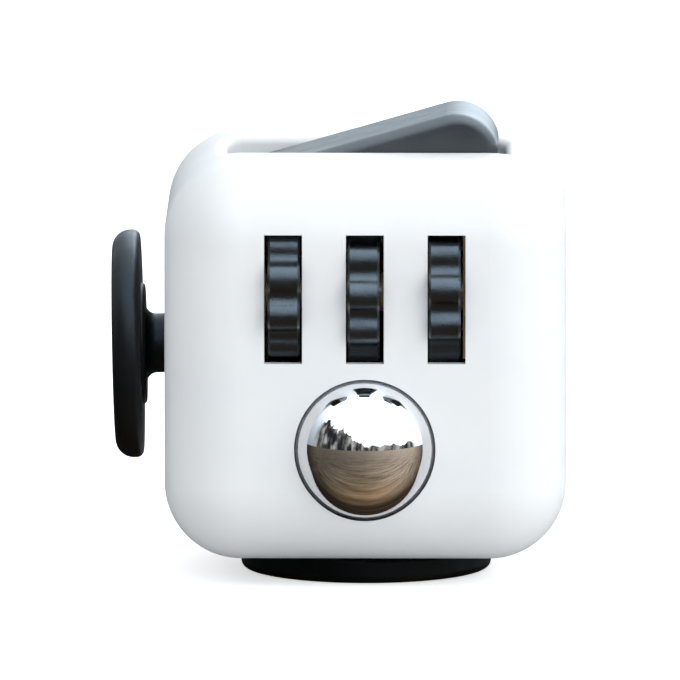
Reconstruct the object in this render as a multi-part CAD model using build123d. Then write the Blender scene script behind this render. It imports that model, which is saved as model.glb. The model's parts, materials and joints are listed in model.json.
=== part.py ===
from build123d import *

import math
import os

os.makedirs("parts", exist_ok=True)

# A pocket fidget cube, in millimetres. +X is the worry-dish side, -X the joystick, -Y the gears and
# ball, +Y the push buttons, +Z the rocker and -Z the spin dial. Every part is drawn about the cube's
# centre and lifted on export, so z = 0 is the dial's flat outer face, which the cube rests on.

# Cube
CUBE = 33.0
HALF = CUBE / 2
EDGE_RADIUS = 6.3
WALL = 2.0
INNER = HALF - WALL
SEAM_AT = 12.7
SEAM_GAP = 0.08
LIP_THICKNESS = 0.8
LIP_FIT = 0.05
LIP_LENGTH = 1.0
LIP_KEEP_OUT = 12.6
FIT = 0.06
BIG = 60.0

# Small screws: one pan-head size holds every bracket
SCREW_R = 0.6
SCREW_HEAD_R = 1.25
SCREW_HEAD_H = 0.8
SCREW_LENGTH = 2.6
BOSS_R = 1.5

# Thumb gears
GEAR_PITCH_X = 6.68
GEAR_SHIFTS = (0.05, -0.10, -0.15)
GEAR_PHASES = (-16.0, -31.9, -26.5)
GEAR_Z = 5.8
GEAR_R = 6.0
GEAR_PROUD = 1.7
GEAR_Y = -HALF - GEAR_PROUD + GEAR_R
GEAR_WIDTH = 2.6
GEAR_TEETH = 10
GEAR_CREST_R = 1.25
VALLEY_R = 0.9
VALLEY_AT = 6.09
GEAR_EDGE = 0.18
WINDOW_W = 3.1
WINDOW_H = 10.6
WINDOW_DROP = 0.1
WINDOW_RELIEF_R = GEAR_R + 0.25
AXLE_R = 0.8
AXLE_LENGTH = 19.0
CHEEK_X = (-8.9, -3.35, 3.35, 8.9)
CHEEK_T = 1.5
CHEEK_H = 4.4
END_CHEEK_FACE_X = 8.02
END_CHEEK_H = 10.5
END_CHEEK_BACK_Y = -9.0
BRACKET_BACK_Y = -5.0
BRACKET_BAR_T = 0.9
BRACKET_SCREW_X = 11.4
EAR_T = 1.1
EAR_H = 3.8
EAR_REACH = 1.1
BOSS_FACE_Y = -12.5

# Ball and its click carriage
BALL_R = 6.05
BALL_Z = -6.68
BALL_PROUD = 3.72
BALL_Y = -HALF - BALL_PROUD + BALL_R
BALL_SOCKET_R = 6.24
CUP_R = 6.2
CUP_SEAT_R = 6.1
CUP_FRONT_Y = -11.6
CUP_BACK_Y = -7.6
CUP_STEM_R = 1.55
CUP_STEM_END_Y = -4.95
BALL_TRAVEL = 0.6
HOLDER_FACE_Y = -6.2
HOLDER_T = 1.0
HOLDER_X = 8.6
HOLDER_LEG_T = 1.6
HOLDER_H = 8.6
HOLDER_SCREW_X = 10.6
DOME_BASE_Y = -3.75
DOME_HEIGHT = 0.5
DOME_R = 2.3
DOME_T = 0.12

# Rocker
RECESS_L = 23.0
RECESS_W = 10.8
RECESS_FLOOR = 9.2
RECESS_CORNER = 1.2
RECESS_RIM = 0.7
WELL_WALL = 0.8
ROCKER_PIVOT_Z = HALF - 3.0
ROCKER_TILT = 16.0
ROCKER_TOP = 3.9
ROCKER_W = 10.3
ROCKER_CREST_X = 11.42
ROCKER_CREST_ROUND = 3.4
ROCKER_NOSE_X = 11.42
ROCKER_NOSE_Z = 0.15
ROCKER_NOSE_ROUND = 1.5
ROCKER_BROW_ROUND = 0.9
ROCKER_HEEL_X = 10.95
ROCKER_HEEL_Z = -1.2
ROCKER_PIN_R = 0.8
TONGUE_R = 0.5
TONGUE_REACH = 3.25
LEAF_T = 0.25
LEAF_L = 16.0
LEAF_W = 4.0
LEAF_HUMP = 0.7
LEAF_SCREW_X = 6.5

# Joystick
STICK_PIVOT_X = -12.6
STICK_LEAN = 1.1
CAP_R = 9.43
CAP_OUTER_X = -20.85
CAP_INNER_X = -18.52
CAP_BOSS_X = -18.17
CAP_BOSS_R = 5.0
CAP_OUTER_ROUND = 1.5
CAP_INNER_ROUND = 0.6
CAP_BOSS_ROUND = 0.3
CAP_DISH_DEPTH = 0.45
CAP_DISH_R = 6.6
NECK_R = 2.45
NECK_FLARE = 0.85
SPIGOT_R = 1.6
SPIGOT_LENGTH = 1.5
BEAD_R = 4.0
BEAD_BACK_X = -10.2
TAIL_R = 1.2
TAIL_END_X = -7.0
SOCKET_R = 4.1
SOCKET_OD_R = 5.6
SOCKET_RING_BACK_X = -10.6
THROAT_R = 3.15
COLLAR_R = 4.3
COLLAR_MOUTH_R = 3.5
COLLAR_PROUD = 0.4
CAGE_R = 4.8
CAGE_BORE_R = 4.0
CAGE_END_X = -5.1
CAGE_END_T = 0.8
CAGE_HOLE_R = 2.4
SOCKET_EAR_AT = 6.5
SOCKET_EAR_R = 1.35
SOCKET_FLANGE_T = 1.2
WASHER_X = -9.7
WASHER_T = 0.6
WASHER_R = 3.2
WASHER_BORE_R = 1.7

# Worry dish
DISH_R = 9.7
DISH_DEPTH = 2.6
DISH_WALL = 1.6

# Spin dial
DIAL_R = 10.33
DIAL_PROUD = 2.2
DIAL_GAP = 0.25
DIAL_EDGE = 0.6
DIAL_SHAFT_R = 2.5
DIAL_SHAFT_TOP = -14.0
DIMPLE_X = 5.0
DIMPLE_Y = -2.4
DIMPLE_SPHERE_R = 6.0
DIMPLE_DEPTH = 1.1
RETAINER_R = 4.5
RETAINER_T = 1.0
DIAL_WASHER_T = 0.4
DIAL_SCREW_R = 0.8
DIAL_SCREW_HEAD_R = 1.9
DIAL_SCREW_HEAD_H = 1.0
DIAL_SCREW_TIP = -17.0

# Push buttons
BUTTON_SPOTS = ((0.0, 0.0), (-6.2, 6.2), (6.2, 6.2), (-6.2, -6.2), (6.2, -6.2))
CLICK_SPOTS = (0, 1, 4)
QUIET_SPOTS = (2, 3)
BUTTON_R = 2.5
BUTTON_TIP_Y = 17.6
BUTTON_FLANGE_R = 3.2
BUTTON_FLANGE_Y = 13.4
BUTTON_FLANGE_T = 0.9
BUTTON_STEM_R = 1.1
BUTTON_STEM_Y = 12.75
BOARD_FACE_Y = 11.6
BOARD_T = 1.0
BOARD_SIZE = 20.0
BOARD_SCREW_AT = 8.6

REST_HEIGHT = HALF + DIAL_PROUD
GEAR_XS = tuple(GEAR_PITCH_X * (i - 1) + GEAR_SHIFTS[i] for i in range(3))


def span(axis, start, end, radius, across=(0.0, 0.0)):
    """A cylinder from start to end along an axis, at the other two coordinates in across."""
    rod = Cylinder(radius, end - start, align=(Align.CENTER, Align.CENTER, Align.MIN))
    if axis == "x":
        return Pos(start, *across) * Rot(0, 90, 0) * rod
    if axis == "y":
        return Pos(across[0], start, across[1]) * Rot(-90, 0, 0) * rod
    return Pos(across[0], across[1], start) * rod


def block(x, y, z):
    """A box between two limits on each axis."""
    size = Box(x[1] - x[0], y[1] - y[0], z[1] - z[0], align=(Align.MIN, Align.MIN, Align.MIN))
    return Pos(x[0], y[0], z[0]) * size


def rounded_cube(half, radius):
    """A cube with every edge and corner rounded."""
    body = Box(2 * half, 2 * half, 2 * half)
    return fillet(body.edges(), radius)


def screw(axis, head_face, direction, across):
    """A pan-head screw whose head sits on head_face, with its shank along direction."""
    tip = head_face + direction * SCREW_LENGTH
    top = head_face - direction * SCREW_HEAD_H
    shank = span(axis, min(head_face, tip), max(head_face, tip), SCREW_R, across)
    head = span(axis, min(head_face, top), max(head_face, top), SCREW_HEAD_R, across)
    outer_rim = head.edges().filter_by(GeomType.CIRCLE).sort_by(Axis((0, 0, 0), axis_vector(axis)))
    outer_rim = outer_rim[0] if direction > 0 else outer_rim[-1]
    return fillet(outer_rim, 0.3) + shank


def axis_vector(axis):
    """The unit vector of a named axis."""
    return {"x": (1, 0, 0), "y": (0, 1, 0), "z": (0, 0, 1)}[axis]


def coil(radius, wire, height, turns):
    """A compression spring standing on z = 0 about the Z axis."""
    path = Helix(height / turns, height, radius)
    section = Plane(origin=path @ 0, z_dir=path % 0) * Circle(wire)
    return Pos(0, 0, wire) * sweep(section, path=path)


# ---------------------------------------------------------------- housing


def base_region(grow):
    """Front, bottom and back of the cube: the part that the base shell fills."""
    cut = SEAM_AT - SEAM_GAP / 2 - grow
    front = block((-BIG, BIG), (-BIG, -cut), (-BIG, BIG))
    back = block((-BIG, BIG), (cut, BIG), (-BIG, BIG))
    bottom = block((-BIG, BIG), (-BIG, BIG), (-BIG, -cut))
    return front + back + bottom


def hood_region():
    """Left, top and right of the cube: the part that the hood shell fills."""
    cut = SEAM_AT - SEAM_GAP / 2
    return block((-BIG, BIG), (-cut, cut), (-cut, BIG))


def hollow(shrink):
    """The room inside the walls, shrunk by a margin."""
    return rounded_cube(INNER - shrink, EDGE_RADIUS - WALL - shrink)


def seam_lip():
    """The tongue inside the base shell that lines the hood up at the seams."""
    rooted = (hollow(0) - hollow(LIP_THICKNESS)) & base_region(-SEAM_GAP / 2)
    tongue = (hollow(LIP_FIT) - hollow(LIP_THICKNESS)) & base_region(LIP_LENGTH)
    lip = rooted + tongue
    keep = LIP_KEEP_OUT
    lip -= block((-keep, keep), (-BIG, BIG), (-keep, keep))
    lip -= block((-keep, keep), (-keep, keep), (-BIG, 0))
    return lip


def base_shell():
    """Front, bottom and back walls, with the windows, ball hole, dial bore and button holes."""
    shell = (rounded_cube(HALF, EDGE_RADIUS) - hollow(0)) & base_region(0)
    shell += seam_lip()
    for side in (-1, 1):
        shell += span("y", -INNER - 0.2, BOSS_FACE_Y, BOSS_R, (side * BRACKET_SCREW_X, GEAR_Z))
        shell += span("y", -INNER - 0.2, BOSS_FACE_Y, BOSS_R, (side * HOLDER_SCREW_X, BALL_Z))
        for spot in ((side * BOARD_SCREW_AT, 0), (0, side * BOARD_SCREW_AT)):
            shell += span("y", BOARD_FACE_Y, INNER + 0.2, BOSS_R, spot)
            shell -= span("y", BOARD_FACE_Y - 0.1, BOARD_FACE_Y + SCREW_LENGTH, SCREW_R, spot)
        for x, z in ((BRACKET_SCREW_X, GEAR_Z), (HOLDER_SCREW_X, BALL_Z)):
            tip = BOSS_FACE_Y + EAR_T - SCREW_LENGTH - 0.1
            shell -= span("y", tip, BOSS_FACE_Y + 0.1, SCREW_R, (side * x, z))
    for i in (-1, 0, 1):
        x = i * GEAR_PITCH_X
        gap = (x - WINDOW_W / 2, x + WINDOW_W / 2)
        middle = GEAR_Z - WINDOW_DROP
        height = (middle - WINDOW_H / 2, middle + WINDOW_H / 2)
        shell -= block(gap, (-HALF - 1, -INNER + 1), height)
        shell -= span("x", gap[0], gap[1], WINDOW_RELIEF_R, (GEAR_Y, GEAR_Z))
    shell -= Pos(0, BALL_Y, BALL_Z) * Sphere(BALL_SOCKET_R)
    shell -= span("z", -HALF - 1, -INNER + 1, DIAL_SHAFT_R + FIT)
    for spot in BUTTON_SPOTS:
        shell -= span("y", INNER - 0.5, HALF + 1, BUTTON_R + FIT, spot)
    return shell


def rocker_recess():
    """The pocket in the top that the rocker swings in."""
    pocket = Box(RECESS_L, RECESS_W, 2 * HALF, align=(Align.CENTER, Align.CENTER, Align.MIN))
    return Pos(0, 0, RECESS_FLOOR) * fillet(pocket.edges().filter_by(Axis.Z), RECESS_CORNER)


def worry_dish():
    """The sphere that hollows the right face, and the thicker wall behind it."""
    radius = (DISH_R**2 + DISH_DEPTH**2) / (2 * DISH_DEPTH)
    centre = Pos(HALF - DISH_DEPTH + radius, 0, 0)
    return centre * Sphere(radius), centre * Sphere(radius + DISH_WALL)


def hood_shell():
    """Left, top and right walls, with the rocker well, stick collar and worry dish."""
    outside = rounded_cube(HALF, EDGE_RADIUS)
    shell = outside - hollow(0)
    dish, dish_back = worry_dish()
    shell += dish_back & rounded_cube(HALF - 0.2, EDGE_RADIUS - 0.2)
    well_x = RECESS_L / 2 + WELL_WALL
    well_y = RECESS_W / 2 + WELL_WALL
    shell += block((-well_x, well_x), (-well_y, well_y), (RECESS_FLOOR - WELL_WALL - 0.1, INNER + 0.5))
    for side in (-1, 1):
        shell += span("z", RECESS_FLOOR - 2.9, RECESS_FLOOR - 0.5, SCREW_HEAD_R, (side * LEAF_SCREW_X, 0))
    shell += span("x", -INNER - 0.2, STICK_PIVOT_X, SOCKET_OD_R)
    for y, z in socket_ear_spots():
        shell += span("x", -INNER - 0.2, STICK_PIVOT_X, SOCKET_EAR_R, (y, z))
    shell &= hood_region()
    dome_radius = (COLLAR_R**2 + COLLAR_PROUD**2) / (2 * COLLAR_PROUD)
    dome = Pos(dome_radius - HALF - COLLAR_PROUD, 0, 0) * Sphere(dome_radius)
    shell += dome & span("x", -HALF - COLLAR_PROUD, -HALF + 0.2, COLLAR_R)
    shell -= rocker_recess()
    rim = shell.edges().filter_by(lambda e: abs(e.center().X) < RECESS_L / 2 + 0.02
                                  and abs(e.center().Y) < RECESS_W / 2 + 0.02
                                  and e.center().Z > HALF - 0.5)
    shell = fillet(rim, RECESS_RIM)
    shell -= dish
    shell -= Pos(STICK_PIVOT_X, 0, 0) * Sphere(SOCKET_R)
    shell -= stick_throat()
    for y, z in socket_ear_spots():
        shell -= span("x", -INNER + 0.4, STICK_PIVOT_X + 0.1, SCREW_R, (y, z))
    shell -= span("y", -RECESS_W / 2 - WELL_WALL - 1, RECESS_W / 2 + WELL_WALL + 1, ROCKER_PIN_R,
                  (0, ROCKER_PIVOT_Z))
    for side in (-1, 1):
        drill = span("z", RECESS_FLOOR - 2.7, RECESS_FLOOR + 0.1, SCREW_R, (side * LEAF_SCREW_X, 0))
        shell -= drill
    return shell


def stick_throat():
    """The flared hole that the stick's neck leans in."""
    length = 2.2
    taper = (COLLAR_MOUTH_R - THROAT_R) / 1.6
    cone = Cone(COLLAR_MOUTH_R + 0.3 * taper, THROAT_R - 0.3 * taper, length,
                align=(Align.CENTER, Align.CENTER, Align.MIN))
    return Pos(-HALF - COLLAR_PROUD - 0.3, 0, 0) * Rot(0, 90, 0) * cone


def socket_ear_spots():
    """Where the three socket screws stand, as (y, z)."""
    return [(SOCKET_EAR_AT * math.cos(math.radians(a)), SOCKET_EAR_AT * math.sin(math.radians(a)))
            for a in (90, 210, 330)]


# ---------------------------------------------------------------- gears


def wave_outline():
    """A closed wave of round crests and round valleys that run into each other."""
    step = math.radians(180.0 / GEAR_TEETH)
    crest_at = GEAR_R - GEAR_CREST_R
    share = GEAR_CREST_R / (GEAR_CREST_R + VALLEY_R)
    join_x = crest_at + share * (VALLEY_AT * math.cos(step) - crest_at)
    join_y = share * VALLEY_AT * math.sin(step)
    join_r = math.hypot(join_x, join_y)
    join_angle = math.atan2(join_y, join_x)

    def at(radius, angle):
        return (radius * math.cos(angle), radius * math.sin(angle))

    arcs = []
    for tooth in range(GEAR_TEETH):
        crest = 2 * step * tooth
        start = at(join_r, crest - join_angle)
        end = at(join_r, crest + join_angle)
        following = at(join_r, crest + 2 * step - join_angle)
        arcs.append(ThreePointArc(start, at(GEAR_R, crest), end))
        arcs.append(ThreePointArc(end, at(VALLEY_AT - VALLEY_R, crest + step), following))
    return make_face(Curve() + arcs)


def thumb_gear(index):
    """A wave-edged thumb wheel on the shared axle."""
    wheel = extrude(wave_outline(), GEAR_WIDTH / 2, both=True)
    rims = wheel.edges().filter_by(lambda e: abs(abs(e.center().Z) - GEAR_WIDTH / 2) < 1e-4)
    wheel = chamfer(rims, GEAR_EDGE)
    wheel -= Cylinder(AXLE_R + FIT, GEAR_WIDTH + 1)
    # the wheel's own axis is laid along X, with its first crest at the phase angle above -Y
    return Pos(GEAR_XS[index], GEAR_Y, GEAR_Z) * Rot(-90 - GEAR_PHASES[index], 0, 0) * Rot(0, 90, 0) * wheel


def gear_axle():
    """The steel pin that the three gears share."""
    return chamfer(span("x", -AXLE_LENGTH / 2, AXLE_LENGTH / 2, AXLE_R, (GEAR_Y, GEAR_Z)).edges()
                   .filter_by(GeomType.CIRCLE), 0.2)


def axle_spacers():
    """Six sleeves that keep each gear in line with its window."""
    sleeves = []
    for i, x in enumerate(GEAR_XS):
        left = CHEEK_X[0] if i == 0 else CHEEK_X[i]
        right = END_CHEEK_FACE_X if i == 2 else CHEEK_X[i + 1] - CHEEK_T / 2
        gaps = (left + CHEEK_T / 2, x - GEAR_WIDTH / 2), (x + GEAR_WIDTH / 2, right)
        for start, end in gaps:
            tube = span("x", start + 0.04, end - 0.04, 1.6, (GEAR_Y, GEAR_Z))
            tube -= span("x", start, end, AXLE_R + 0.02, (GEAR_Y, GEAR_Z))
            sleeves.append(tube)
    return Compound(sleeves)


def gear_bracket():
    """Four cheeks on a back bar, with an ear and a screw at each end."""
    z = (GEAR_Z - CHEEK_H / 2, GEAR_Z + CHEEK_H / 2)
    end = CHEEK_X[3] + CHEEK_T / 2
    bracket = block((-end, end), (BRACKET_BACK_Y - BRACKET_BAR_T, BRACKET_BACK_Y), z)
    for x in CHEEK_X:
        bracket += block((x - CHEEK_T / 2, x + CHEEK_T / 2), (-INNER + 0.05, BRACKET_BACK_Y), z)
    tall = (GEAR_Z - END_CHEEK_H / 2, GEAR_Z + END_CHEEK_H / 2)
    bracket += block((END_CHEEK_FACE_X, CHEEK_X[3] + CHEEK_T / 2), (-INNER + 0.12, END_CHEEK_BACK_Y), tall)
    bracket += block((END_CHEEK_FACE_X, CHEEK_X[3]), (END_CHEEK_BACK_Y - 0.1, BRACKET_BACK_Y), z)
    for side in (-1, 1):
        reach = sorted((side * (end - 0.5), side * (BRACKET_SCREW_X + EAR_REACH)))
        ear = (GEAR_Z - EAR_H / 2, GEAR_Z + EAR_H / 2)
        bracket += block(reach, (BOSS_FACE_Y, BOSS_FACE_Y + EAR_T), ear)
        bracket -= span("y", BOSS_FACE_Y - 1, BOSS_FACE_Y + EAR_T + 1, SCREW_R + 0.1,
                        (side * BRACKET_SCREW_X, GEAR_Z))
    return bracket - span("x", -AXLE_LENGTH / 2, AXLE_LENGTH / 2, AXLE_R, (GEAR_Y, GEAR_Z))


def pair_of_screws(x, z):
    """Two screws in the front wall's bosses, one each side."""
    return Compound([screw("y", BOSS_FACE_Y + EAR_T, -1, (side * x, z)) for side in (-1, 1)])


# ---------------------------------------------------------------- ball


def ball():
    """The polished steel ball."""
    return Pos(0, BALL_Y, BALL_Z) * Sphere(BALL_R)


def ball_cup():
    """The cup behind the ball, with the stem that slides in the holder."""
    cup = span("y", CUP_FRONT_Y, CUP_BACK_Y, CUP_R, (0, BALL_Z))
    cup = chamfer(cup.edges().filter_by(GeomType.CIRCLE).sort_by(Axis.Y)[-1], 1.0)
    cup -= Pos(0, BALL_Y, BALL_Z) * Sphere(CUP_SEAT_R)
    return cup + span("y", CUP_BACK_Y - 0.2, CUP_STEM_END_Y, CUP_STEM_R, (0, BALL_Z))


def ball_spring():
    """The spring that pushes the cup and ball outward."""
    wire = 0.18
    length = HOLDER_FACE_Y - CUP_BACK_Y - 2 * wire - 0.06
    return Pos(0, CUP_BACK_Y + 0.03, BALL_Z) * Rot(-90, 0, 0) * coil(2.2, wire, length, 2)


def ball_holder():
    """A bridge behind the cup, with its stem bore and the cage for the click dome."""
    z = (BALL_Z - HOLDER_H / 2, BALL_Z + HOLDER_H / 2)
    back = HOLDER_FACE_Y + HOLDER_T
    holder = block((-HOLDER_X, HOLDER_X), (HOLDER_FACE_Y, back), z)
    for side in (-1, 1):
        leg = sorted((side * HOLDER_X, side * (HOLDER_X - HOLDER_LEG_T)))
        holder += block(leg, (-INNER + 0.05, back), z)
        ear = sorted((side * (HOLDER_X - 0.5), side * (HOLDER_SCREW_X + BOSS_R)))
        tall = (BALL_Z - EAR_H / 2, BALL_Z + EAR_H / 2)
        holder += block(ear, (BOSS_FACE_Y, BOSS_FACE_Y + EAR_T), tall)
        holder -= span("y", BOSS_FACE_Y - 1, BOSS_FACE_Y + EAR_T + 1, SCREW_R + 0.1,
                       (side * HOLDER_SCREW_X, BALL_Z))
    cage_end = DOME_BASE_Y + 0.8
    holder += span("y", back - 0.2, cage_end, 3.2, (0, BALL_Z))
    holder -= span("y", back, DOME_BASE_Y, DOME_R + 0.1, (0, BALL_Z))
    holder -= span("y", HOLDER_FACE_Y - 1, back + 0.1, CUP_STEM_R + FIT, (0, BALL_Z))
    # clear the lowest run of the three gears and the front of the cup
    holder -= span("y", -INNER, CUP_BACK_Y + 1.2, CUP_R + 0.2, (0, BALL_Z))
    return holder


def snap_dome(base, direction, across):
    """A thin sprung dome whose apex points along -direction from its base plane."""
    radius = (DOME_R**2 + DOME_HEIGHT**2) / (2 * DOME_HEIGHT)
    centre = base + direction * (radius - DOME_HEIGHT)
    skin = Sphere(radius) - Sphere(radius - DOME_T)
    skin = Pos(across[0], centre, across[1]) * skin
    keep = sorted((base, base - direction * 2 * DOME_HEIGHT))
    return skin & span("y", keep[0], keep[1], DOME_R + 0.05, across)


# ---------------------------------------------------------------- rocker


def rocker_outline():
    """Half of the rocker's side outline mirrored about its pivot, with rounded crests."""
    right = [(ROCKER_HEEL_X, ROCKER_HEEL_Z), (ROCKER_NOSE_X, ROCKER_NOSE_Z), (ROCKER_CREST_X, ROCKER_TOP)]
    left = [(-x, z) for x, z in reversed(right)]
    return make_face(Polyline(*right, *left, close=True))


def rocker_solid():
    """The rocker, drawn level about its pivot."""
    body = extrude(Plane.XZ * rocker_outline(), ROCKER_W / 2, both=True)
    upright = body.edges().filter_by(Axis.Y)
    crests = upright.filter_by(lambda e: e.center().Z > ROCKER_TOP - 0.1)
    body = fillet(crests, ROCKER_CREST_ROUND)
    noses = body.edges().filter_by(Axis.Y).filter_by(lambda e: abs(e.center().Z - ROCKER_NOSE_Z) < 0.05)
    body = fillet(noses, ROCKER_NOSE_ROUND)
    brow = body.edges().filter_by(lambda e: abs(abs(e.center().Y) - ROCKER_W / 2) < 1e-3
                                  and e.center().Z > ROCKER_NOSE_Z - 0.5)
    body = fillet(brow, ROCKER_BROW_ROUND)
    for side in (-1, 1):
        reach = sorted((side * 3.0, side * 9.0))
        body -= block(reach, (-ROCKER_W / 2 + 1.2, ROCKER_W / 2 - 1.2), (-5, 1.4))
    body += span("y", -ROCKER_W / 2 + 0.02, ROCKER_W / 2 - 0.02, 2.1)
    tip = TONGUE_REACH - TONGUE_R
    body += block((-TONGUE_R, TONGUE_R), (-1.6, 1.6), (-tip, 0))
    body += span("y", -1.6, 1.6, TONGUE_R, (0, -tip))
    return body - span("y", -ROCKER_W, ROCKER_W, ROCKER_PIN_R + FIT)


def rocker():
    """The rocker at rest, right side up."""
    return Pos(0, 0, ROCKER_PIVOT_Z) * Rot(0, -ROCKER_TILT, 0) * rocker_solid()


def rocker_pin():
    """The steel pin through the well's walls."""
    reach = RECESS_W / 2 + WELL_WALL
    return span("y", -reach, reach, ROCKER_PIN_R, (0, ROCKER_PIVOT_Z))


def rocker_leaf():
    """A flat spring on the well's floor, with a hump under the rocker's tongue."""
    low = RECESS_FLOOR
    under = [(-LEAF_L / 2, low), (-2.0, low), (0, low + LEAF_HUMP), (2.0, low), (LEAF_L / 2, low)]
    over = [(x, z + LEAF_T) for x, z in reversed(under)]
    leaf = extrude(Plane.XZ * make_face(Polyline(*under, *over, close=True)), LEAF_W / 2, both=True)
    for side in (-1, 1):
        leaf -= span("z", low - 1, low + 1, SCREW_R + 0.1, (side * LEAF_SCREW_X, 0))
    return leaf


def rocker_leaf_screws():
    """Two screws through the leaf into the well's floor."""
    return Compound([screw("z", RECESS_FLOOR + LEAF_T, -1, (side * LEAF_SCREW_X, 0))
                              for side in (-1, 1)])


# ---------------------------------------------------------------- joystick


def lean(shape):
    """Turn a stick part about its pivot by the stick's slight lean at rest."""
    return Pos(STICK_PIVOT_X, 0, 0) * Rot(0, -STICK_LEAN, 0) * Pos(-STICK_PIVOT_X, 0, 0) * shape


def joystick_cap():
    """The round thumb cap, dished on its outer face."""
    sag = CAP_DISH_DEPTH
    dish_radius = (CAP_DISH_R**2 + sag**2) / (2 * sag)
    half_sag = dish_radius - math.sqrt(dish_radius**2 - (CAP_DISH_R / 2) ** 2)
    spigot_end = CAP_BOSS_X - SPIGOT_LENGTH
    outside = Polyline((CAP_OUTER_X, CAP_DISH_R), (CAP_OUTER_X, CAP_R), (CAP_INNER_X, CAP_R),
                       (CAP_INNER_X, CAP_BOSS_R), (CAP_BOSS_X, CAP_BOSS_R), (CAP_BOSS_X, SPIGOT_R),
                       (spigot_end, SPIGOT_R), (spigot_end, 0), (CAP_OUTER_X + sag, 0))
    dish = ThreePointArc((CAP_OUTER_X + sag, 0), (CAP_OUTER_X + sag - half_sag, CAP_DISH_R / 2),
                         (CAP_OUTER_X, CAP_DISH_R))
    section = make_face(outside + dish)
    outer_corner = section.vertices().sort_by_distance((CAP_OUTER_X, CAP_R))[0]
    section = fillet(outer_corner, CAP_OUTER_ROUND)
    inner_corner = section.vertices().sort_by_distance((CAP_INNER_X, CAP_R))[0]
    section = fillet(inner_corner, CAP_INNER_ROUND)
    boss_corner = section.vertices().sort_by_distance((CAP_BOSS_X, CAP_BOSS_R))[0]
    section = fillet(boss_corner, CAP_BOSS_ROUND)
    disc = revolve(section, Axis.X)
    return lean(disc)


def joystick_stem():
    """Neck, ball bead and tail of the stick, in one piece."""
    stem = span("x", CAP_BOSS_X - SPIGOT_LENGTH, CAP_BOSS_X + 0.1, SPIGOT_R)
    flare_end = CAP_BOSS_X + NECK_FLARE
    flare = span("x", CAP_BOSS_X, flare_end, NECK_R + NECK_FLARE)
    ring = Rot(0, 90, 0) * Torus(NECK_R + NECK_FLARE, NECK_FLARE)
    flare -= Pos(flare_end, 0, 0) * ring
    stem += flare
    stem += span("x", CAP_BOSS_X, STICK_PIVOT_X, NECK_R)
    bead = Pos(STICK_PIVOT_X, 0, 0) * Sphere(BEAD_R)
    stem += bead & block((-BIG, BEAD_BACK_X), (-BIG, BIG), (-BIG, BIG))
    stem += span("x", BEAD_BACK_X - 0.2, TAIL_END_X, TAIL_R)
    return lean(stem)


def joystick_socket():
    """The back half of the ball seat, and the cage round the centring spring."""
    depth = SOCKET_RING_BACK_X - STICK_PIVOT_X
    mouth = (SOCKET_RING_BACK_X, math.sqrt(SOCKET_R**2 - depth**2))
    seat_middle = (STICK_PIVOT_X + depth / 2, math.sqrt(SOCKET_R**2 - depth**2 / 4))
    rim = (STICK_PIVOT_X, SOCKET_R)
    wall = Polyline(rim, (STICK_PIVOT_X, SOCKET_OD_R), (SOCKET_RING_BACK_X, SOCKET_OD_R),
                    (SOCKET_RING_BACK_X, CAGE_R), (CAGE_END_X, CAGE_R), (CAGE_END_X, CAGE_HOLE_R),
                    (CAGE_END_X - CAGE_END_T, CAGE_HOLE_R), (CAGE_END_X - CAGE_END_T, CAGE_BORE_R),
                    (SOCKET_RING_BACK_X, CAGE_BORE_R), mouth)
    seat = ThreePointArc(mouth, seat_middle, rim)
    socket = revolve(make_face(wall + seat), Axis.X)
    head_x = STICK_PIVOT_X + SOCKET_FLANGE_T
    for y, z in socket_ear_spots():
        socket -= span("x", head_x, head_x + 2, SCREW_HEAD_R + 0.15, (y, z))
        ear = span("x", STICK_PIVOT_X, head_x, SOCKET_EAR_R, (y, z))
        socket += ear - span("x", STICK_PIVOT_X, head_x, SOCKET_OD_R - 0.3)
        socket -= span("x", STICK_PIVOT_X - 1, head_x + 1, SCREW_R + 0.1, (y, z))
    return socket


def socket_screws():
    """Three screws that hold the socket to the left wall."""
    face = STICK_PIVOT_X + SOCKET_FLANGE_T
    return Compound([screw("x", face, -1, spot) for spot in socket_ear_spots()])


def centring_washer():
    """The loose washer that the spring presses on the bead's flat back."""
    ring = span("x", WASHER_X, WASHER_X + WASHER_T, WASHER_R)
    return ring - span("x", WASHER_X - 1, WASHER_X + WASHER_T + 1, WASHER_BORE_R)


def joystick_spring():
    """The spring that presses the centring washer and stands the stick upright."""
    wire = 0.2
    start = WASHER_X + WASHER_T + 0.45
    length = CAGE_END_X - CAGE_END_T - start - 2 * wire - 0.05
    return Pos(start, 0, 0) * Rot(0, 90, 0) * coil(2.75, wire, length, 4)


# ---------------------------------------------------------------- dial


def dial():
    """The spin dial: a thick disc with a finger dimple, on a shaft up through the base."""
    disc = span("z", -REST_HEIGHT, -HALF - DIAL_GAP, DIAL_R)
    rims = disc.edges().filter_by(GeomType.CIRCLE).sort_by(Axis.Z)
    disc = fillet(rims[0], DIAL_EDGE)
    disc = fillet(disc.edges().filter_by(GeomType.CIRCLE).sort_by(Axis.Z)[-1], 0.2)
    sink = -REST_HEIGHT + DIMPLE_DEPTH - DIMPLE_SPHERE_R
    disc -= Pos(DIMPLE_X, DIMPLE_Y, sink) * Sphere(DIMPLE_SPHERE_R)
    disc += span("z", -HALF - DIAL_GAP - 0.2, DIAL_SHAFT_TOP, DIAL_SHAFT_R)
    return disc - span("z", DIAL_SCREW_TIP, DIAL_SHAFT_TOP + 1, DIAL_SCREW_R)


def dial_washer():
    """A slip washer on the cube's floor, under the retainer."""
    ring = span("z", -INNER, -INNER + DIAL_WASHER_T, RETAINER_R)
    return ring - span("z", -INNER - 1, -INNER + 1, DIAL_SHAFT_R + FIT)


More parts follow.
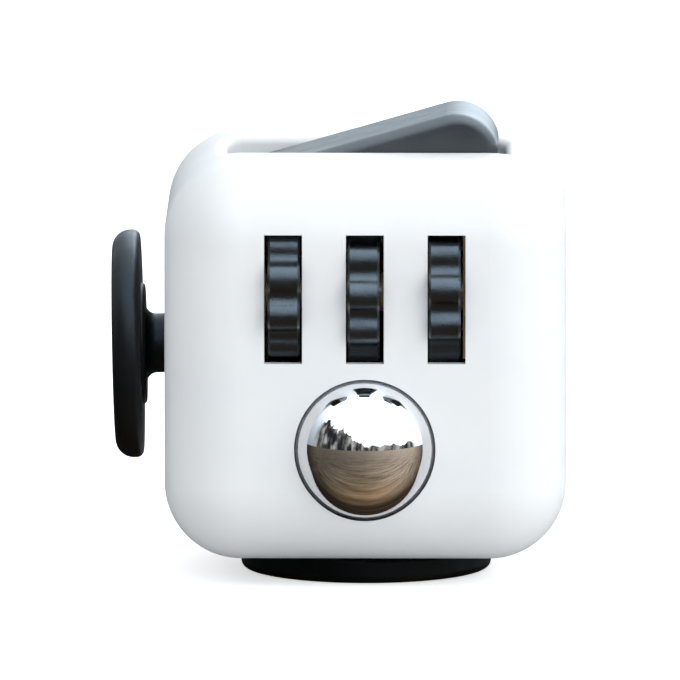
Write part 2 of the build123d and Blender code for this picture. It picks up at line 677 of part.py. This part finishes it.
def dial_retainer():
    """The disc that keeps the dial's shaft in the cube."""
    ring = span("z", DIAL_SHAFT_TOP, DIAL_SHAFT_TOP + RETAINER_T, RETAINER_R)
    return ring - span("z", DIAL_SHAFT_TOP - 1, DIAL_SHAFT_TOP + 2, DIAL_SCREW_R)


def dial_screw():
    """The screw through the retainer into the shaft."""
    face = DIAL_SHAFT_TOP + RETAINER_T
    shank = span("z", DIAL_SCREW_TIP, face, DIAL_SCREW_R)
    return shank + span("z", face, face + DIAL_SCREW_HEAD_H, DIAL_SCREW_HEAD_R)


# ---------------------------------------------------------------- buttons


def button(spot):
    """A round push button with a flange behind the wall and a stem."""
    cap = span("y", BUTTON_FLANGE_Y, BUTTON_TIP_Y, BUTTON_R, spot)
    cap = fillet(cap.edges().filter_by(GeomType.CIRCLE).sort_by(Axis.Y)[-1], 0.7)
    cap += span("y", BUTTON_FLANGE_Y, BUTTON_FLANGE_Y + BUTTON_FLANGE_T, BUTTON_FLANGE_R, spot)
    return cap + span("y", BUTTON_STEM_Y, BUTTON_FLANGE_Y + 0.1, BUTTON_STEM_R, spot)


def button_board():
    """The small board behind the buttons."""
    half = BOARD_SIZE / 2
    board = block((-half, half), (BOARD_FACE_Y - BOARD_T, BOARD_FACE_Y), (-half, half))
    board = fillet(board.edges().filter_by(Axis.Y), 2.0)
    for spot in board_screw_spots():
        board -= span("y", BOARD_FACE_Y - 2, BOARD_FACE_Y + 1, SCREW_R + 0.1, spot)
    return board


def board_screw_spots():
    """The four screw positions of the button board."""
    at = BOARD_SCREW_AT
    return ((at, 0), (-at, 0), (0, at), (0, -at))


def button_board_screws():
    """Four screws through the board into the back wall's bosses."""
    return Compound([screw("y", BOARD_FACE_Y - BOARD_T, 1, spot) for spot in board_screw_spots()])


def snap_domes():
    """Clicking metal domes under three of the buttons."""
    return Compound([snap_dome(BOARD_FACE_Y, -1, BUTTON_SPOTS[i]) for i in CLICK_SPOTS])


def silicone_pads():
    """Soft, quiet return pads under the other two buttons."""
    pads = []
    for i in QUIET_SPOTS:
        x, z = BUTTON_SPOTS[i]
        pad = Cone(2.2, 1.4, DOME_HEIGHT, align=(Align.CENTER, Align.CENTER, Align.MIN))
        pads.append(Pos(x, BOARD_FACE_Y, z) * Rot(-90, 0, 0) * pad)
    return Compound(pads)


# ---------------------------------------------------------------- export


def all_nodes():
    """Every node's name and solid."""
    nodes = {
        "housing_base": base_shell(),
        "housing_hood": hood_shell(),
        "gear_axle": gear_axle(),
        "axle_spacers": axle_spacers(),
        "gear_bracket": gear_bracket(),
        "gear_bracket_screws": pair_of_screws(BRACKET_SCREW_X, GEAR_Z),
        "ball": ball(),
        "ball_cup": ball_cup(),
        "ball_spring": ball_spring(),
        "ball_holder": ball_holder(),
        "ball_holder_screws": pair_of_screws(HOLDER_SCREW_X, BALL_Z),
        "ball_click_dome": snap_dome(DOME_BASE_Y, 1, (0, BALL_Z)),
        "rocker": rocker(),
        "rocker_pin": rocker_pin(),
        "rocker_leaf_spring": rocker_leaf(),
        "rocker_leaf_screws": rocker_leaf_screws(),
        "joystick_cap": joystick_cap(),
        "joystick_stem": joystick_stem(),
        "joystick_socket": joystick_socket(),
        "joystick_socket_screws": socket_screws(),
        "centring_washer": centring_washer(),
        "joystick_spring": joystick_spring(),
        "dial": dial(),
        "dial_washer": dial_washer(),
        "dial_retainer": dial_retainer(),
        "dial_screw": dial_screw(),
        "button_board": button_board(),
        "button_board_screws": button_board_screws(),
        "snap_domes": snap_domes(),
        "silicone_pads": silicone_pads(),
    }
    for index in range(3):
        nodes[f"gear_{index + 1}"] = thumb_gear(index)
    for index, spot in enumerate(BUTTON_SPOTS):
        nodes[f"button_{index + 1}"] = button(spot)
    return nodes


for name, solid in all_nodes().items():
    export_step(Pos(0, 0, REST_HEIGHT) * solid, f"parts/{name}.step")
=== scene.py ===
import json
import math

import bpy
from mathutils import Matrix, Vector


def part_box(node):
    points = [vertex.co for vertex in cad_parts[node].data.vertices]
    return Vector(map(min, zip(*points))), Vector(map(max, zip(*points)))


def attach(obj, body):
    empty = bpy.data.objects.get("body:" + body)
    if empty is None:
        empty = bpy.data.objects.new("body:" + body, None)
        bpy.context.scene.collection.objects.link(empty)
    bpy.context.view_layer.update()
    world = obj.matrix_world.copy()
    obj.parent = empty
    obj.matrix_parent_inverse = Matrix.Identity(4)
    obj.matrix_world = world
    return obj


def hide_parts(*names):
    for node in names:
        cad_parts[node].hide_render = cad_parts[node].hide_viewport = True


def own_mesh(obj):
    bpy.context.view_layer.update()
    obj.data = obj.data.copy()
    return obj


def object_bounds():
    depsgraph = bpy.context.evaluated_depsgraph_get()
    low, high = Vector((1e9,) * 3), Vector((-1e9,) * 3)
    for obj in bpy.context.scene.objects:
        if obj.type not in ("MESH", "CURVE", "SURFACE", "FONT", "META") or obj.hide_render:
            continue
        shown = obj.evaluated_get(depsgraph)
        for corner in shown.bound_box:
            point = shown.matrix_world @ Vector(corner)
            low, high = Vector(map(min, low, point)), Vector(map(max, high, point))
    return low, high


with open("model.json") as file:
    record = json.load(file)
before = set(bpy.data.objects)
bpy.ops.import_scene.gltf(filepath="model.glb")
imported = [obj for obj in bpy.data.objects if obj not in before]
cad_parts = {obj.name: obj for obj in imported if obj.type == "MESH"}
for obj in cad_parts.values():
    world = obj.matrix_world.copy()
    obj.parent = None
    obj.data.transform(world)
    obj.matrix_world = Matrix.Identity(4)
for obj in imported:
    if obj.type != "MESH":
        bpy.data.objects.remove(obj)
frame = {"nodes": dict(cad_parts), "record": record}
start_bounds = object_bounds()
MM = 0.001

# ---------------------------------------------------------------- camera

CAMERA_AZIMUTH = math.radians(0.5)
CAMERA_ELEVATION = math.radians(7.7)
CAMERA_DISTANCE = 1.5
CAMERA_CLIP_START = 0.05
VIEW_WIDTH_AT_CUBE = 0.0562
SENSOR_MM = 36.0
AIM_SHIFT_X = 0.08 * MM
AIM_SHIFT_Z = 0.16 * MM

# ---------------------------------------------------------------- floor and backdrop

FLOOR_HALF = 1.6
FLOOR_GAP = 0.02 * MM  # the floor lies just under the dial, so that the two don't share a plane
FLOOR_MOTTLE_SCALE = 12.0
FLOOR_GREYS = (0.90, 0.93)
FLOOR_GLOW = 0.56  # what the camera sees of the floor is lifted by this, to a cut-out's white
FLOOR_BOUNCE = 0.65  # the grey that all other rays meet, so that the floor doesn't flood the part's underside
BACKDROP_LEVEL = 1.05

# ---------------------------------------------------------------- lights

# name, place from the cube's middle, side, watts and colour
SOFT_LIGHTS = (
    ("key_right", (0.55, -0.50, 0.60), 0.5, 1.2, (1.0, 0.99, 0.97)),
    ("front_top", (0.03, -0.34, 0.32), 0.3, 0.05, (1.0, 1.0, 1.0)),
)

# the soft surroundings that light matt surfaces: level, and how it grows upwards and to the right
SOFT_COLOUR = (0.935, 0.975, 1.0, 1)
SOFT_LEVEL = 1.08
SOFT_RISE = 0.22
SOFT_ACROSS = 0.72
SOFT_LEAST = 0.02

# ---------------------------------------------------------------- what polished surfaces mirror

# the sky: (height, level), its colour, and how much brighter it is to the right and in front
MIRROR_SKY = ((0.0, 1.25), (0.35, 1.9), (1.0, 3.9))
SKY_COLOUR = (0.84, 0.96, 1.06)
SKY_RIGHT = 0.6
SKY_FRONT = 0.3

# a bright patch of sky: its direction, its strength, and the nearness at which it starts and is full
GLOW_FROM = (0.5, 0.72, 0.48)
GLOW = 1.6
GLOW_FADE = (0.76, 0.93)

# the dark band along the horizon: the height of its clumps, how much taller they stand to the left, how sharp
# their top is, and how quickly the band ends behind the cube
BAND_LOW = 0.27
BAND_LEFT = 1.15
BAND_SHARPNESS = 45.0
BAND_END = 6.0
BAND_FLATTEN = (1.0, 1.0, 0.35)
BAND_CLUMP_SCALE = 5.0
BAND_SPECKLE_SCALE = 7.0
BAND_COLOURS = ((0.40, (0.02, 0.024, 0.03)), (0.49, (0.08, 0.08, 0.078)),
                (0.56, (0.26, 0.26, 0.24)), (0.66, (0.55, 0.56, 0.53)))

# the streaked ground: its streaks and their colours, then how its shade changes from the horizon to straight
# down, from front to back and from left to right
STREAK_STRETCH = (0.55, 9.0, 1.0)
STREAK_SCALE = 1.6
STREAK_DETAIL = 8.0
STREAK_ROUGHNESS = 0.72
GROUND_COLOURS = ((0.34, (0.055, 0.042, 0.032)), (0.44, (0.15, 0.125, 0.10)),
                  (0.56, (0.235, 0.20, 0.165)), (0.70, (0.36, 0.32, 0.28)))
GROUND_DOWNWARDS = ((0.0, (1.45, 1.45, 1.45)), (0.25, (1.15, 1.13, 1.09)),
                   (0.66, (1.15, 1.07, 0.94)), (0.98, (1.35, 1.08, 0.78)))
GROUND_TO_BACK = ((0.42, 1.0), (0.62, 0.14))
GROUND_TO_RIGHT = ((0.05, 0.5), (0.5, 1.0), (0.95, 2.1))

# ---------------------------------------------------------------- places, all from the frame

base_low, base_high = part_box("housing_base")
hood_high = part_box("housing_hood")[1]
CUBE_CENTRE = Vector((0, (base_low.y + base_high.y) / 2, (base_low.z + hood_high.z) / 2))
WHOLE_MIDDLE_X = (start_bounds[0][0] + start_bounds[1][0]) / 2


# ---------------------------------------------------------------- node helpers: a source is a number or a socket


def add_node(tree, kind, values=None):
    """A new node, with the inputs that values names set."""
    node = tree.nodes.new(kind)
    for name, value in (values or {}).items():
        node.inputs[name].default_value = value
    return node


def feed(tree, node, into, source):
    """Link a socket into a node's input, or set the input to a number."""
    if isinstance(source, bpy.types.NodeSocket):
        tree.links.new(source, node.inputs[into])
    else:
        node.inputs[into].default_value = source


def maths(tree, operation, *sources):
    node = add_node(tree, "ShaderNodeMath")
    node.operation = operation
    for index, source in enumerate(sources):
        feed(tree, node, index, source)
    return node.outputs["Value"]


def vector_maths(tree, operation, inputs):
    node = add_node(tree, "ShaderNodeVectorMath")
    node.operation = operation
    for into, source in inputs.items():
        feed(tree, node, into, source)
    return node


def mix_colours(tree, first, second, factor, blend="MIX"):
    node = add_node(tree, "ShaderNodeMix")
    node.data_type = "RGBA"
    node.clamp_factor = True
    node.blend_type = blend
    for into, source in ((0, factor), (6, first), (7, second)):  # 6, 7 and output 2 are the node's colour sockets
        feed(tree, node, into, source)
    return node.outputs[2]


def mix_shaders(tree, factor, first, second):
    node = add_node(tree, "ShaderNodeMixShader")
    for index, source in enumerate((factor, first, second)):
        feed(tree, node, index, source)
    return node.outputs["Shader"]


def background(tree, colour, strength):
    node = add_node(tree, "ShaderNodeBackground")
    feed(tree, node, "Color", colour)
    feed(tree, node, "Strength", strength)
    return node.outputs["Background"]


def ramp(tree, factor, stops):
    """A colour ramp with (position, grey or colour) stops."""
    node = add_node(tree, "ShaderNodeValToRGB")
    elements = node.color_ramp.elements
    while len(elements) < len(stops):
        elements.new(0.5)
    for element, (position, colour) in zip(elements, stops):
        element.position = position
        element.color = (colour, colour, colour, 1) if isinstance(colour, float) else (*colour, 1)
    feed(tree, node, "Fac", factor)
    return node.outputs["Color"]


def stretched(tree, vector, scale, rotation=(0.0, 0.0, 0.0)):
    node = add_node(tree, "ShaderNodeMapping", {"Scale": scale, "Rotation": rotation})
    feed(tree, node, "Vector", vector)
    return node.outputs["Vector"]


def noise(tree, vector, scale, detail, roughness=0.5):
    node = add_node(tree, "ShaderNodeTexNoise", {"Scale": scale, "Detail": detail, "Roughness": roughness})
    feed(tree, node, "Vector", vector)
    return node.outputs["Fac"]


def bump(tree, height, strength, distance):
    node = add_node(tree, "ShaderNodeBump", {"Strength": strength, "Distance": distance})
    feed(tree, node, "Height", height)
    return node.outputs["Normal"]


# ---------------------------------------------------------------- materials: noise scales are per metre

DRIFT_SCALE = 140.0  # slow colour drift over a moulding
SMEAR_SCALE = 420.0  # patches of more and less gloss
SWELL_SIZE = 9.0  # the low swell under a moulding's grain, in grains across
SWELL_WEIGHT = 2.0
COAT_ROUGHNESS = 0.12
SUBSURFACE_RADIUS = (1.0, 0.95, 0.9)
SUBSURFACE_SCALE = 0.7 * MM

TARNISH_SCALE = 200.0  # slow tint over polished metal
TARNISH = 0.97
SCRATCH_SCALE = 900.0
SCRATCH_STRETCH = (1.0, 9.0, 1.0)
SCRATCH_TURN = (0.4, 0.2, 0.9)
SCRATCH_BUMP = 0.4

COOL_SHEEN = (0.74, 0.87, 1.0)


def new_surface(name):
    """A new material, its tree, a Principled shader and the object's own coordinates."""
    material = bpy.data.materials.new(name)
    material.use_nodes = True
    tree = material.node_tree
    tree.nodes.clear()
    shader = add_node(tree, "ShaderNodeBsdfPrincipled")
    return material, tree, shader, add_node(tree, "ShaderNodeTexCoord").outputs["Object"]


def moulded_plastic(name, dark, light, roughness, grain_scale, grain_height, coat=0.0, subsurface=0.0,
                    specular=0.5, tint=(1.0, 1.0, 1.0)):
    """Moulded plastic: slow colour drift, uneven gloss and a fine surface grain over a low swell."""
    material, tree, shader, place = new_surface(name)
    drift = noise(tree, place, DRIFT_SCALE, detail=5.0)
    feed(tree, shader, "Base Color", ramp(tree, drift, ((0.3, dark), (0.7, light))))
    smear = noise(tree, place, SMEAR_SCALE, detail=3.0, roughness=0.6)
    feed(tree, shader, "Roughness", ramp(tree, smear, ((0.3, roughness[0]), (0.75, roughness[1]))))
    grain = noise(tree, place, grain_scale, detail=2.0, roughness=0.55)
    swell = noise(tree, place, grain_scale / SWELL_SIZE, detail=2.0)
    height = maths(tree, "MULTIPLY_ADD", swell, SWELL_WEIGHT, grain)
    feed(tree, shader, "Normal", bump(tree, height, strength=1.0, distance=grain_height))
    shader.inputs["Specular IOR Level"].default_value = specular
    shader.inputs["Specular Tint"].default_value = (*tint, 1.0)
    shader.inputs["Coat Weight"].default_value = coat
    shader.inputs["Coat Roughness"].default_value = COAT_ROUGHNESS
    if subsurface:
        shader.inputs["Subsurface Weight"].default_value = subsurface
        shader.inputs["Subsurface Radius"].default_value = SUBSURFACE_RADIUS
        shader.inputs["Subsurface Scale"].default_value = SUBSURFACE_SCALE
    feed(tree, add_node(tree, "ShaderNodeOutputMaterial"), "Surface", shader.outputs["BSDF"])
    return material


def polished_metal(name, colour, roughness, scratch_height):
    """Polished metal with faint hairline scratches in uneven patches."""
    material, tree, shader, place = new_surface(name)
    shader.inputs["Metallic"].default_value = 1.0
    tarnish = noise(tree, place, TARNISH_SCALE, detail=3.0)
    duller = tuple(c * TARNISH for c in colour)
    feed(tree, shader, "Base Color", ramp(tree, tarnish, ((0.3, duller), (0.7, colour))))
    lengthwise = stretched(tree, place, SCRATCH_STRETCH, SCRATCH_TURN)
    scratch = noise(tree, lengthwise, SCRATCH_SCALE, detail=6.0)
    feed(tree, shader, "Roughness", ramp(tree, scratch, ((0.35, roughness[0]), (0.8, roughness[1]))))
    feed(tree, shader, "Normal", bump(tree, scratch, strength=SCRATCH_BUMP, distance=scratch_height))
    feed(tree, add_node(tree, "ShaderNodeOutputMaterial"), "Surface", shader.outputs["BSDF"])
    return material


MATERIALS = {
    "white_shell": moulded_plastic(
        "white_shell_abs", dark=(0.80, 0.81, 0.82), light=(0.84, 0.845, 0.85), roughness=(0.3, 0.42),
        grain_scale=5200.0, grain_height=2.5e-6, subsurface=0.08, specular=0.22),
    "black_gear": moulded_plastic(
        "black_gear_plastic", dark=0.0015, light=0.004, roughness=(0.26, 0.44),
        grain_scale=9000.0, grain_height=2.4e-5, specular=0.85, tint=COOL_SHEEN),
    "black_stick": moulded_plastic(
        "black_stick_plastic", dark=0.003, light=0.006, roughness=(0.38, 0.52),
        grain_scale=8000.0, grain_height=6e-6, specular=0.28, tint=COOL_SHEEN),
    "slate_rocker": moulded_plastic(
        "slate_rocker_plastic", dark=(0.013, 0.018, 0.023), light=(0.021, 0.027, 0.033),
        roughness=(0.30, 0.42), grain_scale=7000.0, grain_height=8e-6, specular=0.7),
    "black_dial": moulded_plastic(
        "black_dial_plastic", dark=0.0012, light=0.003, roughness=(0.30, 0.42),
        grain_scale=6500.0, grain_height=5e-6, specular=0.14, tint=COOL_SHEEN),
    "black_button": moulded_plastic(
        "black_button_plastic", dark=0.010, light=0.016, roughness=(0.3, 0.42),
        grain_scale=7000.0, grain_height=4e-6),
    # the acetal's tan is painted shade and warm bounce light: it stands in for the shaded inner walls seen beside
    # the third gear
    "natural_acetal": moulded_plastic(
        "natural_acetal", dark=(0.62, 0.45, 0.25), light=(0.74, 0.55, 0.33), roughness=(0.35, 0.5),
        grain_scale=4000.0, grain_height=3e-6, subsurface=0.1),
    "circuit_board": moulded_plastic(
        "circuit_board_laminate", dark=(0.01, 0.07, 0.03), light=(0.02, 0.1, 0.045), roughness=(0.3, 0.45),
        grain_scale=6000.0, grain_height=4e-6, coat=0.5),
    "grey_silicone": moulded_plastic(
        "grey_silicone", dark=0.22, light=0.28, roughness=(0.5, 0.65),
        grain_scale=5000.0, grain_height=4e-6, subsurface=0.2),
    "chrome_ball": polished_metal(
        "chrome_ball_polish", (0.80, 0.80, 0.81), roughness=(0.02, 0.05), scratch_height=1e-7),
    "steel": polished_metal(
        "turned_steel", (0.56, 0.56, 0.58), roughness=(0.2, 0.38), scratch_height=2e-6),
    "spring_steel": polished_metal(
        "spring_steel", (0.6, 0.6, 0.62), roughness=(0.16, 0.3), scratch_height=1e-6),
    "zinc_screw": polished_metal(
        "zinc_screw_plate", (0.52, 0.54, 0.56), roughness=(0.22, 0.42), scratch_height=2e-6),
}

for entry in frame["record"]["subparts"]:
    cad = frame["nodes"][entry["node"]]
    cad.data.materials.clear()
    cad.data.materials.append(MATERIALS[entry["material_slot"]])


# ---------------------------------------------------------------- pieces


def flexing_spring():
    """The ball's return spring: its own copy of the frame's coil, carried by the housing in place of the frame's.
    """
    coil = bpy.data.objects.new("ball_spring_coil", frame["nodes"]["ball_spring"].data.copy())
    bpy.context.scene.collection.objects.link(coil)
    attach(coil, "housing")
    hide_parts("ball_spring")
    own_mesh(coil)


# ---------------------------------------------------------------- world, lights, floor, camera

# in the world's functions, x, y and z are the sockets of a ray's direction: right, back and up


def soft_surroundings(tree, x, z):
    """What lights matt surfaces: brightest above and to the right, dim below and to the left."""
    slope = maths(tree, "ADD", maths(tree, "MULTIPLY", z, SOFT_RISE), maths(tree, "MULTIPLY", x, SOFT_ACROSS))
    level = maths(tree, "MAXIMUM", maths(tree, "ADD", slope, SOFT_LEVEL), SOFT_LEAST)
    return background(tree, SOFT_COLOUR, level)


def mirrored_sky(tree, direction, x, y, z):
    """A sky that brightens upwards, to the right and in front, with one bright patch."""
    sky = ramp(tree, z, [(height, tuple(level * c for c in SKY_COLOUR)) for height, level in MIRROR_SKY])
    lean = maths(tree, "MULTIPLY_ADD", x, SKY_RIGHT, 1.0)
    lean = maths(tree, "ADD", lean, maths(tree, "MULTIPLY", y, -SKY_FRONT))
    nearness = vector_maths(tree, "DOT_PRODUCT", {0: direction, 1: GLOW_FROM}).outputs["Value"]
    glow = ramp(tree, nearness, ((GLOW_FADE[0], 0.0), (GLOW_FADE[1], 1.0)))
    lean = maths(tree, "ADD", lean, maths(tree, "MULTIPLY", glow, GLOW))
    return vector_maths(tree, "SCALE", {0: sky, "Scale": lean}).outputs["Vector"]


def horizon_band(tree, direction, x, y, z):
    """The dark uneven band on the horizon: its colour, and a factor of 0 in it and 1 above it and behind."""
    place = stretched(tree, direction, BAND_FLATTEN)
    clumps = noise(tree, place, BAND_CLUMP_SCALE, detail=3.0)
    left = maths(tree, "MAXIMUM", maths(tree, "MULTIPLY", x, -1.0), 0.0)
    top = maths(tree, "MULTIPLY", clumps, maths(tree, "MULTIPLY_ADD", left, BAND_LEFT, BAND_LOW))
    above = maths(tree, "MULTIPLY_ADD", maths(tree, "SUBTRACT", z, top), BAND_SHARPNESS, 0.5)
    behind = maths(tree, "MULTIPLY_ADD", y, BAND_END, 1.0)
    colour = ramp(tree, noise(tree, place, BAND_SPECKLE_SCALE, detail=3.0), BAND_COLOURS)
    return colour, maths(tree, "MAXIMUM", above, behind)


def mirrored_ground(tree, direction, x, y, z):
    """Warm streaked ground: palest at the horizon, warmest straight down, brighter to the right, dark behind."""
    drop = add_node(tree, "ShaderNodeCombineXYZ")
    for axis in "XYZ":
        feed(tree, drop, axis, z)
    on_level_plane = vector_maths(tree, "DIVIDE", {0: direction, 1: drop.outputs["Vector"]}).outputs["Vector"]
    streaks = noise(tree, stretched(tree, on_level_plane, STREAK_STRETCH), STREAK_SCALE,
                    detail=STREAK_DETAIL, roughness=STREAK_ROUGHNESS)
    ground = ramp(tree, streaks, GROUND_COLOURS)
    for place, shade in ((maths(tree, "MULTIPLY", z, -1.0), GROUND_DOWNWARDS),
                         (maths(tree, "MULTIPLY_ADD", y, 0.5, 0.5), GROUND_TO_BACK),
                         (maths(tree, "MULTIPLY_ADD", x, 0.5, 0.5), GROUND_TO_RIGHT)):
        ground = mix_colours(tree, ground, ramp(tree, place, shade), 1.0, "MULTIPLY")
    return ground


def studio_world():
    """Soft surroundings for matt surfaces, a plain outdoor scene for polished ones, white for the camera."""
    world = bpy.data.worlds.new("studio")
    bpy.context.scene.world = world
    world.use_nodes = True
    tree = world.node_tree
    tree.nodes.clear()
    direction = add_node(tree, "ShaderNodeTexCoord").outputs["Generated"]
    split = add_node(tree, "ShaderNodeSeparateXYZ")
    feed(tree, split, "Vector", direction)
    x, y, z = (split.outputs[axis] for axis in "XYZ")

    band, clear_of_band = horizon_band(tree, direction, x, y, z)
    upper = mix_colours(tree, band, mirrored_sky(tree, direction, x, y, z), clear_of_band)
    ground = mirrored_ground(tree, direction, x, y, z)
    mirrored = mix_colours(tree, ground, upper, maths(tree, "GREATER_THAN", z, 0.0))

    path = add_node(tree, "ShaderNodeLightPath")
    seen = mix_shaders(tree, path.outputs["Is Glossy Ray"],
                       soft_surroundings(tree, x, z), background(tree, mirrored, 1.0))
    seen = mix_shaders(tree, path.outputs["Is Camera Ray"],
                       seen, background(tree, (1, 1, 1, 1), BACKDROP_LEVEL))
    feed(tree, add_node(tree, "ShaderNodeOutputWorld"), "Surface", seen)


def soft_light(name, at, size, power, colour):
    """A square soft light aimed at the cube's middle, not seen in the polished ball."""
    data = bpy.data.lights.new(name, "AREA")
    data.shape = "SQUARE"
    data.size = size
    data.energy = power
    data.color = colour
    lamp = bpy.data.objects.new(name, data)
    lamp.location = CUBE_CENTRE + Vector(at)
    lamp.rotation_euler = (CUBE_CENTRE - lamp.location).to_track_quat("-Z", "Y").to_euler()
    lamp.visible_glossy = False
    bpy.context.scene.collection.objects.link(lamp)


def pale_floor():
    """The plain pale floor: near white to the camera, greyer to the light that bounces off it."""
    mesh = bpy.data.meshes.new("floor")
    corners = [(x * FLOOR_HALF, y * FLOOR_HALF, -FLOOR_GAP) for x, y in ((-1, -1), (1, -1), (1, 1), (-1, 1))]
    mesh.from_pydata(corners, [], [(0, 1, 2, 3)])
    floor = bpy.data.objects.new("floor", mesh)
    bpy.context.scene.collection.objects.link(floor)
    material, tree, shader, place = new_surface("pale_floor")
    mottle = noise(tree, place, FLOOR_MOTTLE_SCALE, detail=5.0)
    feed(tree, shader, "Base Color", ramp(tree, mottle, ((0.3, FLOOR_GREYS[0]), (0.7, FLOOR_GREYS[1]))))
    shader.inputs["Roughness"].default_value = 0.9
    shader.inputs["Specular IOR Level"].default_value = 0.1
    shader.inputs["Emission Color"].default_value = (1, 1, 1, 1)
    shader.inputs["Emission Strength"].default_value = FLOOR_GLOW
    bounce = add_node(tree, "ShaderNodeBsdfDiffuse", {"Color": (FLOOR_BOUNCE, FLOOR_BOUNCE, FLOOR_BOUNCE, 1)})
    path = add_node(tree, "ShaderNodeLightPath")
    chosen = mix_shaders(tree, path.outputs["Is Camera Ray"], bounce.outputs["BSDF"], shader.outputs["BSDF"])
    feed(tree, add_node(tree, "ShaderNodeOutputMaterial"), "Surface", chosen)
    mesh.materials.append(material)
    floor.visible_glossy = False


def photo_camera():
    """A long lens a little above the cube's middle, square to the gear face."""
    data = bpy.data.cameras.new("camera")
    data.sensor_width = SENSOR_MM
    data.lens = SENSOR_MM * CAMERA_DISTANCE / VIEW_WIDTH_AT_CUBE
    data.clip_start = CAMERA_CLIP_START
    camera = bpy.data.objects.new("camera", data)
    back = Vector((math.sin(CAMERA_AZIMUTH) * math.cos(CAMERA_ELEVATION),
                   -math.cos(CAMERA_AZIMUTH) * math.cos(CAMERA_ELEVATION), math.sin(CAMERA_ELEVATION)))
    aim = Vector((WHOLE_MIDDLE_X + AIM_SHIFT_X, 0, CUBE_CENTRE.z + AIM_SHIFT_Z))
    camera.location = aim + back * CAMERA_DISTANCE
    camera.rotation_euler = back.to_track_quat("Z", "Y").to_euler()
    bpy.context.scene.collection.objects.link(camera)
    bpy.context.scene.camera = camera


flexing_spring()
studio_world()
pale_floor()
photo_camera()
for light in SOFT_LIGHTS:
    soft_light(*light)
bpy.context.scene.view_settings.view_transform = "Standard"
